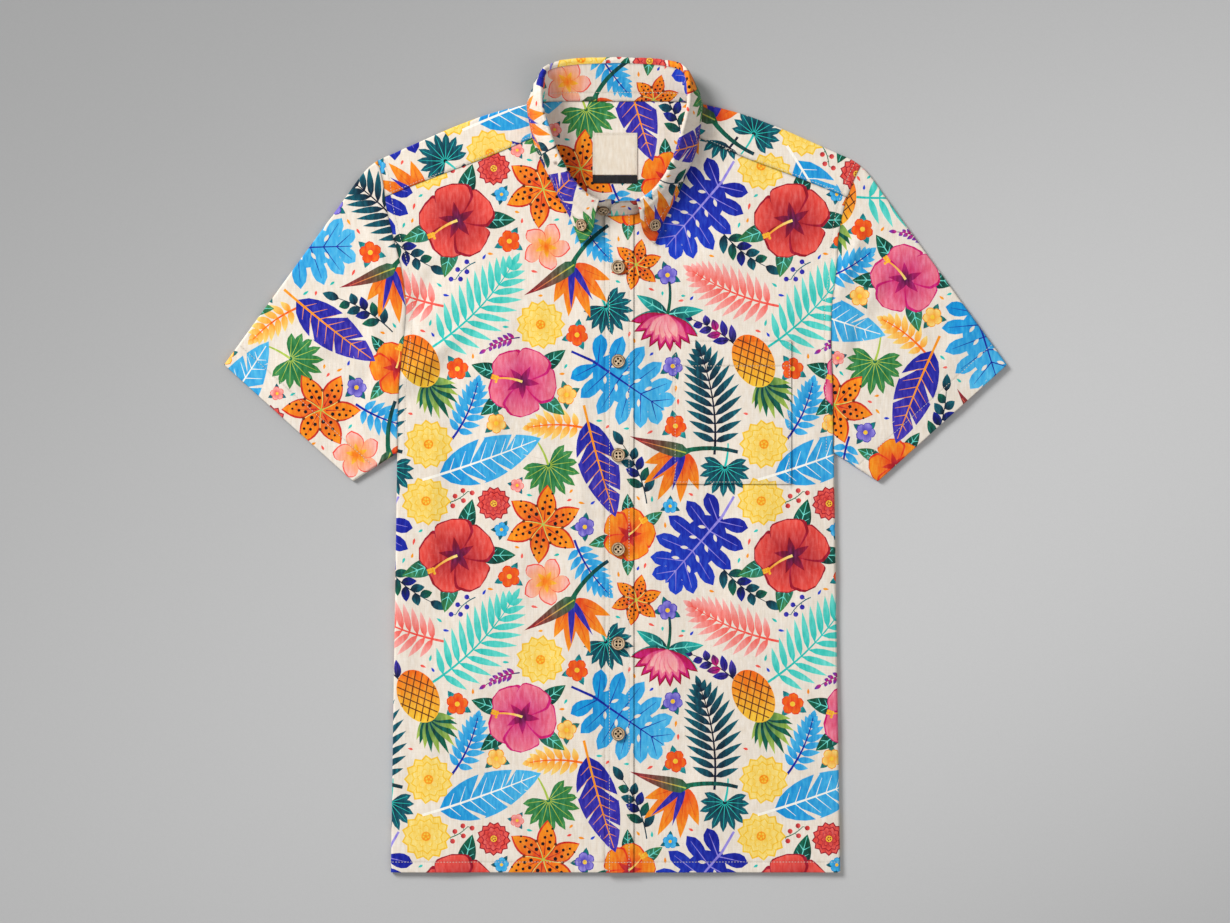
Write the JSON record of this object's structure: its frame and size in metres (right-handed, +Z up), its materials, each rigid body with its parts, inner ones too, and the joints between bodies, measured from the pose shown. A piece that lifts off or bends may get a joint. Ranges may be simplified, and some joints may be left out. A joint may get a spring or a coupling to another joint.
{
  "type": "hawaiian shirt",
  "caption": "Short-sleeved tropical-print shirt with a button-down collar and a chest patch pocket, buttoned up and laid flat on its back.",
  "frame": {"origin": "centre of the shirt's outline, seen from above, on the surface that it lies on", "axes": "+Y towards the collar, +X towards the wearer's left side, +Z up out of the front of the shirt"},
  "size_m": [0.7528, 0.7829, 0.0327],
  "materials": {
    "printed_cotton": "matte plain-weave cotton and linen with slubs, cream ground printed with tropical leaves and flowers",
    "label_cloth": "matte woven cream label",
    "label_strip_cloth": "matte woven black tab",
    "button_shell": "satin coconut shell with mottled grain"
  },
  "bodies": {
    "root": {"front_right": "printed_cotton", "front_left": "printed_cotton", "placket": "printed_cotton", "pocket": "printed_cotton", "yoke": "printed_cotton", "back": "printed_cotton", "sleeve_right": "printed_cotton", "sleeve_left": "printed_cotton", "collar_stand": "printed_cotton", "collar_leaf": "printed_cotton", "neck_label": "label_cloth", "label_strip": "label_strip_cloth", "button_1": "button_shell", "button_2": "button_shell", "button_3": "button_shell", "button_4": "button_shell", "button_5": "button_shell", "button_6": "button_shell", "neck_button": "button_shell", "collar_button_right": "button_shell", "collar_button_left": "button_shell"}
  },
  "joints": []
}
